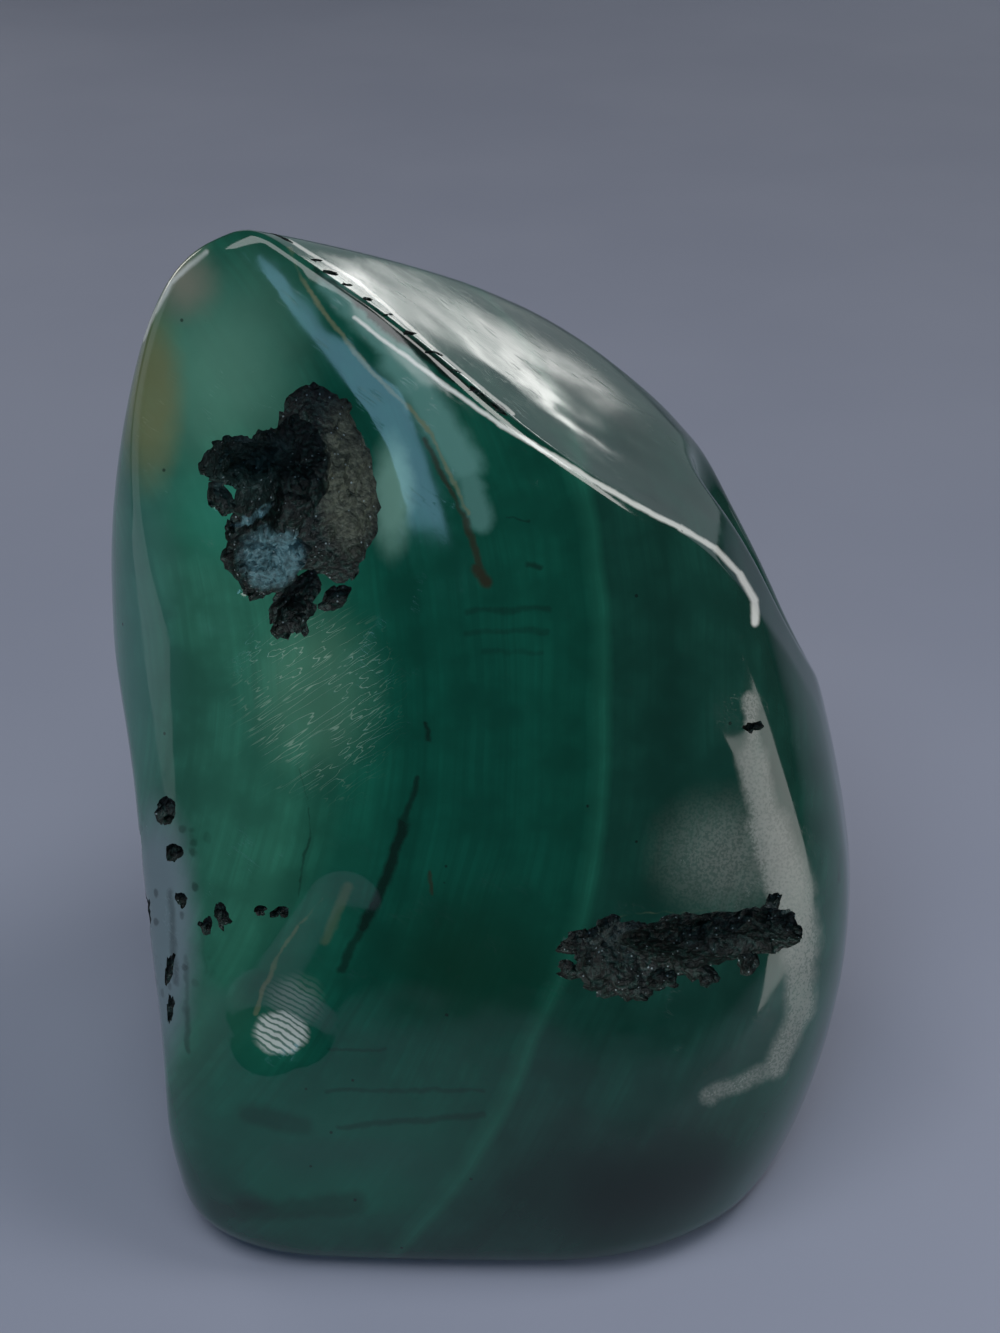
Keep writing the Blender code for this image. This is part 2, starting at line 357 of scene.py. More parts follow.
# Small chips that make the rims of the two breaks ragged.
RIM_CHIPS = [
    ((-77.1, 47.1), 0.9), ((-73.8, 44.7), 1.1), ((-69.7, 42.7), 1.0), ((-61.5, 38.0), 1.1),
    ((-53.9, 36.3), 1.0), ((-47.1, 57.1), 0.9), ((-46.6, 50.5), 1.0), ((-46.8, 43.7), 1.0),
    ((-76.5, 51.2), 0.9), ((-72.4, 55.5), 0.9), ((-68.3, 61.4), 1.0), ((-64.1, 65.5), 0.9),
    ((13.1, -21.2), 0.9), ((16.7, -18.6), 1.1), ((20.0, -15.8), 1.1), ((24.5, -23.7), 1.0),
    ((34.4, -21.1), 1.1), ((41.3, -18.4), 1.2), ((46.3, -11.9), 0.9), ((28.0, -22.5), 1.2),
]
RIM_CHIP_FLAT = 0.6
RIM_CHIP_DEEP = 0.8
RIM_CHIP_TURN = 47

for number, (aim, size) in enumerate(RIM_CHIPS):
    PITS[f"rim_{number}"] = Chip(
        aim=aim, across=size, along=size * RIM_CHIP_FLAT, deep=size * RIM_CHIP_DEEP, sunk=0,
        turn=number * RIM_CHIP_TURN % 180,
    )

# A crack runs just behind the ridge, as a row of small chips.
CRACK_AIMS = [
    (-94.7, 70.0), (-91.5, 71.4), (-88.2, 72.8), (-83.4, 74.5), (-77.5, 76.3), (-68.8, 78.1),
    (-56.0, 79.8), (-39.6, 81.0), (-17.5, 80.5), (0.0, 79.4),
]
for number, aim in enumerate(CRACK_AIMS):
    PITS[f"crack_{number}"] = Chip(aim=aim, across=0.6, along=0.16, deep=0.3, sunk=0, turn=35)

# %% Shape a lump
BREAK_SUBDIVISIONS = 5
PIT_SUBDIVISIONS = 4
BREAK_SEED = 11
FLAKES = 10
FLAKE_REACH = (0.82, 1.08)
WIDEST = 1.12
GRAZING = 0.2

# The facets that cover a break: how large they are, how far they tilt, and the grain on them.
FACET_SIZE = 0.8
FACET_TILT = 0.9
GRAIN_SIZE = 0.22
GRAIN_DEPTH = 0.06
GRAIN_OCTAVES = 3


def flaked(directions, rng):
    """A ball of radius 1 with flat flakes taken off it."""
    flakes = unit(rng.normal(size=(FLAKES, 3)))
    reach = rng.uniform(*FLAKE_REACH, FLAKES)
    radius = (reach / np.clip(directions @ flakes.T, GRAZING, None)).min(axis=1)
    return directions * np.minimum(radius, WIDEST)[:, None]


def facet_height(place):
    """How far a facet stands out at a place, in millimetres."""
    spot = Vector(place) / FACET_SIZE
    centre = noise.voronoi(spot)[1][0]
    tilt = noise.noise_vector(centre * 3.7)
    grain = noise.fractal(Vector(place) / GRAIN_SIZE, 1.0, 2.0, GRAIN_OCTAVES)
    return (spot - centre).dot(tilt) * FACET_SIZE * FACET_TILT + grain * GRAIN_DEPTH


def lump_place(directions, chip, rng):
    """The points of a lump, laid where the chip's aim leaves the stone."""
    spot = surface_along(outward(*chip.aim)[None], field)
    out = slope(spot, faces_field)[0]
    side = unit(np.cross([0, 0, 1], out))
    rise = np.cross(out, side)
    turn = math.radians(chip.turn)
    across = side * math.cos(turn) - rise * math.sin(turn)
    along = side * math.sin(turn) + rise * math.cos(turn)
    frame_of_chip = np.array([across * chip.across, along * chip.along, out * chip.deep])
    places = flaked(directions, rng) @ frame_of_chip
    rough = unit(places) * np.array([facet_height(spot[0] + place) for place in places])[:, None]
    return spot[0] - out * chip.sunk + places + rough


# %% Cut the lumps out
SHARP_FROM = 35


def piece_of(name, shape, material):
    """An object from a bmesh, shaded smooth."""
    mesh = bpy.data.meshes.new(name)
    shape.to_mesh(mesh)
    shape.free()
    mesh.materials.append(material)
    mesh.shade_smooth()
    piece = bpy.data.objects.new(name, mesh)
    bpy.context.scene.collection.objects.link(piece)
    return piece


def lumps(name, chips, subdivisions, rng, material):
    """One cutter that holds a lump for each chip."""
    shape = bmesh.new()
    for chip in chips:
        ball = bmesh.ops.create_icosphere(shape, subdivisions=subdivisions, radius=1)["verts"]
        directions = unit(np.array([vert.co[:] for vert in ball]))
        for vert, place in zip(ball, lump_place(directions, chip, rng)):
            vert.co = place
    return piece_of(name, shape, material)


def cut_away(stone, cutter, use_self=False):
    """Takes a cutter out of the stone for good, and deletes the cutter."""
    knife = stone.modifiers.new(cutter.name, "BOOLEAN")
    knife.operation = "DIFFERENCE"
    knife.solver = "EXACT"
    knife.material_mode = "TRANSFER"
    knife.use_self = use_self
    knife.object = cutter
    depsgraph = bpy.context.evaluated_depsgraph_get()
    cut_mesh = bpy.data.meshes.new_from_object(stone.evaluated_get(depsgraph))
    stone.modifiers.clear()
    old_mesh, stone.data = stone.data, cut_mesh
    bpy.data.meshes.remove(old_mesh)
    bpy.data.objects.remove(cutter)


polished = bpy.data.materials.new("polished_malachite")
broken = bpy.data.materials.new("broken_malachite")
stone = piece_of("stone", stone_shape, polished)
rng = np.random.default_rng(BREAK_SEED)
# Without a seed, the noise that tilts the facets would start from the clock.
noise.seed_set(BREAK_SEED)
for name, chip in {**POCKET, **FISSURE}.items():
    cut_away(stone, lumps(name, [chip], BREAK_SUBDIVISIONS, rng, broken))
cut_away(stone, lumps("pits", PITS.values(), PIT_SUBDIVISIONS, rng, broken), use_self=True)
print("With its breaks the stone has", len(stone.data.polygons), "faces and",
      [material.name for material in stone.data.materials])

# %% [markdown]
# ## The foot
#
# A freeform stands because its maker ground one last flat under it. A flat block takes a thin
# skim off the bottom. Then the stone moves so that it stands at the origin, where the packed
# solid stands, and shrinks from millimetres to metres.

# %% Skim the foot and set the stone down
FOOT_SKIM = 0.12
SLAB_SIZE = 70.0


def slab(top, material):
    """A flat block that ends at a height above the ground."""
    shape = bmesh.new()
    down = Matrix.Translation((0, 0, top - SLAB_SIZE / 2))
    bmesh.ops.create_cube(shape, size=SLAB_SIZE, matrix=down)
    return piece_of("foot_slab", shape, material)


def set_down(stone):
    """Moves the stone over the origin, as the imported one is, in metres."""
    low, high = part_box("malachite_stone")
    points = np.array([vert.co[:] for vert in stone.data.vertices])
    middle = (points.min(axis=0) + points.max(axis=0)) / 2
    shift = Vector(((low.x + high.x) / 2 / MM - middle[0], (low.y + high.y) / 2 / MM - middle[1], -FOOT_SKIM))
    stone.data.transform(Matrix.Scale(MM, 4) @ Matrix.Translation(shift))
    return shift


cut_away(stone, slab(FOOT_SKIM, polished))
stone_shift = set_down(stone)
stone.data.shade_smooth()
stone.data.set_sharp_from_angle(angle=math.radians(SHARP_FROM))
print("The stone moved by", [round(value, 2) for value in stone_shift], "mm")

# %% [markdown]
# ## How a finish is put together
#
# A finish is a small network of nodes. Written out one node at a time it would fill pages, so a
# few helpers do the writing: one makes a node and fills its inputs, two do sums, and one starts a
# group. A group is a network that gets a name and can be placed again with other values, like a
# stencil. Every group here puts out masks and values only, and the shader stays in the material.

# %% Helpers for nodes
def fill(tree, socket, value):
    """Links a socket to another one, or sets its own value."""
    if isinstance(value, bpy.types.NodeSocket):
        tree.links.new(value, socket)
    else:
        socket.default_value = value


def node(tree, kind, inputs=None, **settings):
    """A node with its settings made and its inputs filled."""
    made = tree.nodes.new("ShaderNode" + kind)
    for name, value in settings.items():
        setattr(made, name, value)
    for name, value in (inputs or {}).items():
        fill(tree, made.inputs[name], value)
    return made


def sums(tree, operation, *values, clamp=False):
    """One step of arithmetic on numbers."""
    made = node(tree, "Math", operation=operation, use_clamp=clamp)
    for socket, value in zip(made.inputs, values):
        fill(tree, socket, value)
    return made.outputs[0]


def vector_sums(tree, operation, *values, out="Vector"):
    """One step of arithmetic on vectors. A length or a product comes out as a number."""
    made = node(tree, "VectorMath", operation=operation)
    sockets = [made.inputs[0], made.inputs[1]]
    for socket, value in zip(sockets, values):
        fill(tree, socket, value)
    if len(values) > len(sockets):
        fill(tree, made.inputs["Scale"], values[-1])
    return made.outputs[out]


def ramp(tree, value, low, high, to_low=0.0, to_high=1.0):
    """A smooth step from one value to another while the input goes from low to high."""
    inputs = {"Value": value, "From Min": low, "From Max": high, "To Min": to_low, "To Max": to_high}
    return node(tree, "MapRange", inputs, interpolation_type="SMOOTHSTEP").outputs["Result"]


def blend(tree, share, colour, other, how="MIX"):
    """Two colours mixed by a mask."""
    made = node(tree, "Mix", {"Factor": share}, data_type="RGBA", blend_type=how)
    fill(tree, made.inputs["A"], colour)
    fill(tree, made.inputs["B"], other)
    return made.outputs["Result"]


def new_group(name, inputs, outputs):
    """An empty group with named sockets, and the sockets that its nodes use."""
    tree = bpy.data.node_groups.new(name, "ShaderNodeTree")
    for label, value in inputs.items():
        kind = "NodeSocketVector" if isinstance(value, tuple) else "NodeSocketFloat"
        tree.interface.new_socket(label, in_out="INPUT", socket_type=kind).default_value = value
    for label in outputs:
        tree.interface.new_socket(label, in_out="OUTPUT", socket_type="NodeSocketFloat")
    return tree, tree.nodes.new("NodeGroupInput").outputs, tree.nodes.new("NodeGroupOutput").inputs


def place_group(tree, group, inputs):
    """A group placed in a material with its own values."""
    placed = tree.nodes.new("ShaderNodeGroup")
    placed.node_tree = group
    for name, value in inputs.items():
        fill(tree, placed.inputs[name], value)
    return placed.outputs


ORIGIN = (0.0, 0.0, 0.0)

# %% [markdown]
# ## Growth bands
#
# Malachite grows in shells round a centre, like an onion, and a cut through it shows the shells as
# bands. The centre of these bands lies left of the stone, so they cross the front as long arcs.
# The group measures the distance from that centre, lets it waver a little, and reads two noises
# along it: a broad one for the wide bands and a fine one for the hair lines.

# %% Build the band group
BROAD_BANDS_PER_MM = 0.2
FINE_BANDS_PER_MM = 2.0


def band_group():
    tree, given, result = new_group(
        "growth_bands", {"Point": ORIGIN, "Centre": ORIGIN, "Waver": 1.0}, ["Distance", "Broad", "Fine"]
    )
    drift = node(tree, "TexNoise", {"Vector": given["Point"], "Scale": 0.09, "Detail": 2.0})
    bend = sums(tree, "MULTIPLY", sums(tree, "SUBTRACT", drift.outputs[0], 0.5), given["Waver"])
    offset = vector_sums(tree, "SUBTRACT", given["Point"], given["Centre"])
    distance = sums(tree, "ADD", vector_sums(tree, "LENGTH", offset, out="Value"), bend)
    broad = node(
        tree, "TexNoise", {"W": distance, "Scale": BROAD_BANDS_PER_MM, "Detail": 2.0}, noise_dimensions="1D"
    )
    fine = node(
        tree, "TexNoise", {"W": distance, "Scale": FINE_BANDS_PER_MM, "Detail": 3.0}, noise_dimensions="1D"
    )
    fill(tree, result["Distance"], distance)
    fill(tree, result["Broad"], broad.outputs[0])
    fill(tree, result["Fine"], fine.outputs[0])
    return tree


GROWTH_BANDS = band_group()
print("The band group has", len(GROWTH_BANDS.nodes), "nodes")

# %% [markdown]
# ## Patches and lines
#
# Some marks have one place only: the pale haze on the left, a brown rim, a vein, a crack, and
# the painted highlights, reflections and shade. A patch is a soft egg in space, and whatever surface
# passes through it is marked. A line is the space within a small distance of a straight stretch
# between two points. Both take the point after it has been shaken by a noise, so that neither looks
# drawn with a ruler.

# %% Build the patch and line groups
def patch_group():
    tree, given, result = new_group(
        "patch", {"Point": ORIGIN, "Middle": ORIGIN, "Size": (1.0, 1.0, 1.0), "Soft": 0.5}, ["Mask"]
    )
    offset = vector_sums(tree, "SUBTRACT", given["Point"], given["Middle"])
    scaled = vector_sums(tree, "DIVIDE", offset, given["Size"])
    reach = vector_sums(tree, "LENGTH", scaled, out="Value")
    fill(tree, result["Mask"], ramp(tree, reach, 1.0, sums(tree, "SUBTRACT", 1.0, given["Soft"])))
    return tree


def line_group():
    tree, given, result = new_group(
        "line", {"Point": ORIGIN, "Start": ORIGIN, "End": (1.0, 0.0, 0.0), "Width": 0.2}, ["Mask"]
    )
    offset = vector_sums(tree, "SUBTRACT", given["Point"], given["Start"])
    axis = vector_sums(tree, "SUBTRACT", given["End"], given["Start"])
    length = vector_sums(tree, "DOT_PRODUCT", axis, axis, out="Value")
    product = vector_sums(tree, "DOT_PRODUCT", offset, axis, out="Value")
    share = sums(tree, "DIVIDE", product, length, clamp=True)
    gap = vector_sums(tree, "DISTANCE", offset, vector_sums(tree, "SCALE", axis, ORIGIN, share), out="Value")
    near = sums(tree, "MULTIPLY", given["Width"], 0.3)
    fill(tree, result["Mask"], ramp(tree, gap, given["Width"], near))
    return tree


PATCH, LINE = patch_group(), line_group()

# %% [markdown]
# ## Scratches, specks and clouds
#
# A polish is never perfect. Scratches are the contour lines of a noise that has been stretched along
# one direction, which gives long thin strokes that start and stop. Specks are the middles of
# Voronoi cells, and only a share of the cells has one. Clouds are a plain noise that makes the
# polish a little duller here and there.

# %% Build the wear groups
def scratch_group():
    tree, given, result = new_group(
        "scratches", {"Point": ORIGIN, "Turn": ORIGIN, "Long": 0.15, "Fine": 4.0, "Share": 0.5}, ["Mask"]
    )
    turns = {"Vector": given["Point"], "Rotation": given["Turn"]}
    turned = node(tree, "VectorRotate", turns, rotation_type="EULER_XYZ")
    stretch = node(tree, "CombineXYZ", {"X": given["Long"], "Y": given["Fine"], "Z": given["Fine"]})
    stretched = vector_sums(tree, "MULTIPLY", turned.outputs[0], stretch.outputs[0])
    strokes = node(tree, "TexNoise", {"Vector": stretched, "Scale": 1.0, "Detail": 1.0}).outputs[0]
    off_line = sums(tree, "ABSOLUTE", sums(tree, "SUBTRACT", strokes, 0.5))
    where = node(tree, "TexNoise", {"Vector": given["Point"], "Scale": 0.5, "Detail": 2.0}).outputs[0]
    near = sums(tree, "SUBTRACT", 1.0, given["Share"])
    gate = ramp(tree, where, near, sums(tree, "ADD", near, 0.15))
    fill(tree, result["Mask"], sums(tree, "MULTIPLY", ramp(tree, off_line, 0.02, 0.004), gate))
    return tree


def speck_group():
    tree, given, result = new_group("specks", {"Point": ORIGIN, "PerMm": 1.0, "Size": 0.2, "Share": 0.2}, ["Mask"])
    cells = node(tree, "TexVoronoi", {"Vector": given["Point"], "Scale": given["PerMm"]})
    chance = node(tree, "SeparateXYZ", {"Vector": cells.outputs["Color"]}).outputs["X"]
    chosen = sums(tree, "LESS_THAN", chance, given["Share"])
    dot = ramp(tree, cells.outputs["Distance"], given["Size"], sums(tree, "MULTIPLY", given["Size"], 0.5))
    fill(tree, result["Mask"], sums(tree, "MULTIPLY", dot, chosen))
    return tree


SCRATCHES, SPECKS = scratch_group(), speck_group()

# %% [markdown]
# ## The polished malachite
#
# The colour starts as a scale of greens along the growth distance: milky on the left, emerald in
# the middle, a light line where the growth paused, and dark green beyond it. Patches then add what
# is local, among it painted reflections and a painted shade, and lines add veins and stains as well
# as painted highlights along edges. The marks are placed in millimetres, as measured over the stone.

# %% List the greens and the marks
GROWTH_CENTRE = (-45.0, -5.0, 33.0)
GROWTH_NEAR, GROWTH_FAR = 20.0, 72.0

GREENS = [
    (20.0, (0.040, 0.165, 0.125)),
    (28.0, (0.038, 0.180, 0.120)),
    (34.0, (0.032, 0.175, 0.110)),
    (37.5, (0.008, 0.105, 0.066)),
    (41.0, (0.004, 0.086, 0.055)),
    (45.0, (0.004, 0.074, 0.048)),
    (51.5, (0.004, 0.068, 0.044)),
    (52.5, (0.012, 0.115, 0.075)),
    (53.1, (0.006, 0.050, 0.035)),
    (60.0, (0.008, 0.052, 0.038)),
    (72.0, (0.014, 0.070, 0.050)),
]

# middle, half sizes, softness, colour, strength
PATCHES = {
    "dish_haze": ((-15.0, 0.5, 52.0), (8.0, 6.0, 10.0), 0.8, (0.150, 0.370, 0.260), 0.8),
    "dish_green": ((-14.5, -4.0, 45.0), (7.0, 4.0, 6.0), 0.8, (0.030, 0.280, 0.180), 0.65),
    "haze_left": ((-10.5, -11.0, 36.5), (5.0, 5.0, 7.0), 0.7, (0.120, 0.300, 0.190), 0.5),
    "milky_flank": ((-22.0, -4.0, 36.0), (4.5, 12.0, 18.0), 0.8, (0.090, 0.240, 0.210), 0.6),
    # Painted reflection of the floor: lavender grey on the lower left flank.
    "flank_floor_reflection": ((-21.0, -14.5, 21.0), (4.0, 6.0, 12.0), 0.5, (0.230, 0.285, 0.330), 0.75),
    # Painted reflection of a sunlit floor: an ochre band on the upper left rim.
    "ochre_rim_reflection": ((-20.6, 0.0, 50.5), (2.8, 5.0, 9.0), 0.7, (0.240, 0.220, 0.090), 0.7),
    "brown_cap": ((-18.3, 1.5, 57.9), (3.2, 3.5, 3.0), 0.95, (0.300, 0.290, 0.220), 0.85),
    "olive_edge": ((-5.8, -6.6, 47.2), (1.7, 3.0, 5.5), 0.7, (0.220, 0.430, 0.340), 0.8),
    "green_low": ((-10.0, -21.0, 9.0), (13.0, 6.0, 8.0), 0.8, (0.016, 0.130, 0.090), 0.5),
    "dark_front": ((-1.5, -18.0, 21.0), (8.0, 5.0, 8.0), 0.9, (0.004, 0.040, 0.022), 0.8),
    # Painted shade in the small hollow low on the left, next to the foot.
    "foot_hollow_shade": ((-15.5, -22.5, 5.8), (2.2, 2.0, 1.3), 0.8, (0.010, 0.030, 0.025), 0.6),
    "dark_low_right": ((9.0, -20.5, 7.0), (13.0, 7.0, 7.0), 0.8, (0.002, 0.010, 0.008), 0.9),
    "pale_end": ((15.0, 8.0, 43.0), (4.0, 5.0, 4.0), 0.8, (0.080, 0.180, 0.130), 0.7),
}

# start, end, half width, strength
DARK_LINES = [
    ((-11.4, -12.9, 32.4), (-10.8, -13.9, 30.4), 0.12, 0.7),
    ((-10.8, -13.9, 30.4), (-10.8, -14.6, 28.7), 0.14, 0.8),
    ((-10.8, -14.6, 28.7), (-11.5, -15.5, 26.3), 0.16, 0.8),
    ((-11.5, -15.5, 26.3), (-11.6, -15.9, 25.2), 0.14, 0.7),
    ((-4.4, -13.6, 32.3), (-5.2, -14.6, 29.7), 0.3, 0.65),
    ((-5.2, -14.6, 29.7), (-6.3, -15.8, 26.5), 0.5, 0.8),
    ((-6.3, -15.8, 26.5), (-7.7, -16.6, 23.5), 0.5, 0.8),
    ((-7.7, -16.6, 23.5), (-9.1, -17.4, 21.0), 0.4, 0.6),
    ((-3.8, -12.4, 35.4), (-3.8, -12.7, 34.4), 0.25, 0.7),
    ((-1.4, -9.6, 41.4), (3.4, -9.5, 41.5), 0.3, 0.35),
    ((-1.4, -10.2, 40.3), (3.2, -10.2, 40.4), 0.3, 0.3),
    ((-0.5, -10.6, 39.2), (3.0, -10.6, 39.2), 0.25, 0.25),
    ((2.2, -8.2, 43.7), (2.9, -8.2, 43.6), 0.3, 0.6),
    ((1.0, -7.2, 46.3), (2.3, -7.2, 46.2), 0.12, 0.5),
    ((-5.5, -16.5, 24.8), (4.8, -16.6, 24.5), 0.07, 0.5),
    ((-9.8, -19.2, 16.1), (-6.4, -19.3, 16.3), 0.2, 0.45),
    ((-10.1, -20.0, 13.6), (-0.5, -20.3, 13.9), 0.25, 0.4),
    ((-9.3, -20.7, 11.3), (-0.5, -20.8, 12.4), 0.35, 0.4),
    ((-15.0, -20.2, 11.9), (-11.6, -20.5, 11.1), 1.0, 0.35),
    ((-17.5, -20.6, 4.0), (-8.5, -22.0, 6.0), 1.1, 0.4),
    ((22.5, 0.2, 29.4), (22.0, -10.8, 22.7), 0.25, 0.7),
    ((-19.6, -13.5, 24.0), (-19.4, -15.8, 18.7), 0.4, 0.5),
    ((-18.6, -15.5, 20.5), (-18.8, -17.9, 14.9), 0.35, 0.5),
    ((-17.6, -14.5, 23.5), (-17.4, -16.2, 20.0), 0.3, 0.45),
    ((-10.3, 1.0, 58.5), (-7.0, -1.0, 56.6), 0.4, 0.95),
    ((-7.0, -1.0, 56.6), (-4.6, -1.9, 55.1), 0.5, 0.95),
    ((-4.6, -1.9, 55.1), (-2.2, -2.7, 53.3), 0.5, 0.95),
    ((-2.2, -2.7, 53.3), (0.6, -3.4, 51.6), 0.35, 0.9),
]

BROWN_LINES = [
    ((-3.9, -5.0, 50.3), (-1.4, -7.2, 46.2), 0.25, 0.7),
    ((-1.4, -7.2, 46.2), (-0.7, -8.6, 43.9), 0.35, 0.7),
    ((-0.8, -8.7, 43.7), (-0.3, -9.0, 43.1), 0.5, 0.8),
    ((-3.6, -15.7, 27.0), (-3.6, -16.1, 25.6), 0.2, 0.7),
]

# Painted highlights: near-white lines along the ridge, and in the last two along the upper left rim.
PAINTED_HIGHLIGHT_LINES = [
    ((-8.0, -1.3, 56.5), (-5.4, -2.3, 54.8), 0.2, 0.9),
    ((-5.4, -2.3, 54.8), (-2.4, -3.4, 52.9), 0.22, 0.9),
    ((-2.4, -3.4, 52.9), (0.5, -4.2, 51.0), 0.22, 0.95),
    ((0.5, -4.2, 51.0), (4.1, -4.9, 49.0), 0.24, 0.95),
    ((4.1, -4.9, 49.0), (6.5, -5.3, 47.6), 0.24, 0.95),
    ((6.5, -5.3, 47.6), (8.9, -5.5, 46.2), 0.26, 0.95),
    ((8.9, -5.5, 46.2), (11.4, -5.3, 44.8), 0.26, 0.95),
    ((11.4, -5.3, 44.8), (13.7, -4.4, 42.9), 0.3, 0.95),
    ((13.7, -4.4, 42.9), (15.3, -4.1, 41.0), 0.36, 0.95),
    ((15.3, -4.1, 41.0), (16.2, -5.0, 39.7), 0.42, 0.95),
    ((16.2, -5.0, 39.7), (16.1, -6.6, 39.0), 0.4, 0.9),
    ((-12.1, 2.4, 60.1), (-8.1, 1.6, 57.9), 0.2, 0.9),
    ((-8.1, 1.6, 57.9), (-3.4, -1.6, 54.8), 0.2, 0.9),
    ((-3.4, -1.6, 54.8), (1.3, -3.2, 51.3), 0.18, 0.8),
    ((-16.8, 2.0, 59.3), (-19.2, 2.0, 57.4), 0.3, 0.7),
    ((-19.2, 2.0, 57.4), (-21.1, 2.0, 54.0), 0.35, 0.7),
]

HAZE_LINES = [
    ((-9.5, 0.2, 58.0), (-5.4, -2.6, 54.4), 1.0, 0.6),
    ((-5.4, -2.6, 54.4), (-1.5, -5.6, 49.0), 1.6, 0.65),
    ((-1.5, -5.6, 49.0), (-0.6, -7.2, 46.2), 1.1, 0.5),
]

# A grainy cream band down the lower right: a painted highlight, and the polish there is rougher too.
SCUFF_HIGHLIGHT_LINES = [
    ((15.7, -9.8, 35.5), (15.8, -11.6, 32.3), 0.7, 0.9),
    ((15.8, -11.6, 32.3), (16.7, -13.2, 28.2), 1.3, 0.9),
    ((16.7, -13.2, 28.2), (18.4, -14.2, 24.4), 2.0, 1.0),
    ((18.4, -14.2, 24.4), (19.2, -15.1, 20.5), 1.8, 0.9),
    ((19.2, -15.1, 20.5), (19.3, -15.8, 16.3), 1.4, 0.9),
    ((19.3, -15.8, 16.3), (17.8, -17.2, 13.2), 1.2, 0.8),
    ((17.8, -17.2, 13.2), (13.6, -19.4, 12.7), 0.9, 0.6),
]

# Painted highlights: pale lines along the crease below the peak, along the left edge of the channel and along the
# lip of the lower break.
EDGE_HIGHLIGHT_LINES = [
    ((-12.0, 1.6, 59.8), (-10.7, -0.4, 57.8), 0.2, 0.7),
    ((-10.7, -0.4, 57.8), (-7.2, -2.8, 54.1), 0.22, 0.8),
    ((-7.2, -2.8, 54.1), (-3.6, -4.8, 50.8), 0.22, 0.8),
    ((-3.6, -4.8, 50.8), (-1.3, -7.0, 46.6), 0.2, 0.7),
    ((-10.2, -15.8, 25.0), (-11.7, -16.4, 23.3), 0.14, 0.5),
    ((-11.7, -16.4, 23.3), (-12.9, -16.9, 21.5), 0.18, 0.6),
    ((-12.9, -16.9, 21.5), (-14.1, -17.6, 18.9), 0.2, 0.6),
    ((-14.1, -17.6, 18.9), (-14.5, -17.9, 17.7), 0.2, 0.5),
    ((-8.6, -15.9, 26.0), (-10.0, -16.6, 22.6), 0.45, 0.3),
    ((7.6, -16.2, 24.0), (9.6, -15.8, 24.1), 0.16, 0.6),
    ((9.6, -15.8, 24.1), (15.0, -15.2, 23.6), 0.16, 0.7),
]

# The marks reach this share of the way into the stone, so that each one meets its surface.
INWARD = outward(-5, 28)
MARK_DEPTH = 0.8
LINES_AT_ONCE = 3


def flattened(place):
    """A place pressed flat along the way into the stone."""
    return tuple(np.array(place) - INWARD * (INWARD @ np.array(place)) * MARK_DEPTH)


# Three of these colours are painted highlights: the cream one for the lower right, the pale olive one for edges
# and the near-white one for the ridge and rim.
HAZE, SCUFF_HIGHLIGHT = (0.160, 0.370, 0.330), (0.420, 0.430, 0.390)
DARK, BROWN = (0.004, 0.010, 0.008), (0.035, 0.022, 0.012)
EDGE_HIGHLIGHT, PAINTED_HIGHLIGHT = (0.190, 0.210, 0.120), (0.900, 0.920, 0.860)


# %% Mix the polished malachite
WOBBLE_PER_MM = 0.8
WOBBLE_REACH = 0.7
STEADY_REACH = 0.25
POLISH_INDEX = 1.62

# The way along the channel, long enough for a stripe every third of a millimetre in the painted highlight at its
# end.
STRIPES = (-9.0, -4.4, -15.4)


def millimetres(tree):
    """The place on the piece in millimetres."""
    place = node(tree, "TexCoord").outputs["Object"]
    return vector_sums(tree, "SCALE", place, ORIGIN, 1 / MM)


def shaken(tree, point, per_mm, reach):
    """The point moved a little by a noise."""
    shake = node(tree, "TexNoise", {"Vector": point, "Scale": per_mm, "Detail": 3.0}).outputs["Color"]
    shake = vector_sums(tree, "SUBTRACT", shake, (0.5, 0.5, 0.5))
    return vector_sums(tree, "ADD", point, vector_sums(tree, "SCALE", shake, ORIGIN, reach))


def green_scale(tree, distance):
    """The greens along the growth distance."""
    scale = node(tree, "ValToRGB")
    spread = GROWTH_FAR - GROWTH_NEAR
    fill(tree, scale.inputs["Fac"], sums(tree, "DIVIDE", sums(tree, "SUBTRACT", distance, GROWTH_NEAR), spread))
    stops = scale.color_ramp.elements
    while len(stops) < len(GREENS):
        stops.new(0.5)
    for stop, (distance_mm, colour) in zip(stops, GREENS):
        stop.position = (distance_mm - GROWTH_NEAR) / spread
        stop.color = (*colour, 1)
    return scale.outputs["Color"]


def lines_mask(tree, point, lines):
    """One mask for several lines, which go some way into the stone."""
    depth = vector_sums(tree, "DOT_PRODUCT", point, tuple(INWARD * MARK_DEPTH), out="Value")
    point = vector_sums(tree, "SUBTRACT", point, vector_sums(tree, "SCALE", tuple(INWARD), ORIGIN, depth))
    mask = 0.0
    for number, (start, end, width, strength) in enumerate(lines):
        ends = {"Start": flattened(start), "End": flattened(end)}
        placed = place_group(tree, LINE, {"Point": point, "Width": width, **ends})
        mask = sums(tree, "MAXIMUM", sums(tree, "MULTIPLY", placed["Mask"], strength), mask)
        if number % LINES_AT_ONCE == 0:
            wait = vector_sums(tree, "SCALE", (TINY, TINY, TINY), ORIGIN, mask)
            point = vector_sums(tree, "ADD", point, wait)
    return mask


def start_material(material):
    """The tree of a material, and its shader."""
    material.use_nodes = True
    return material.node_tree, material.node_tree.nodes["Principled BSDF"]


def above_face(tree, point, name):
    """How far each point lies above the plane of a ground face, in millimetres."""
    face = FACES[name]
    out = outward(face.facing, face.tilt)
    base = face.reach + out @ (HEART + np.array(stone_shift))
    height = vector_sums(tree, "DOT_PRODUCT", point, tuple(out), out="Value")
    return sums(tree, "SUBTRACT", height, base)


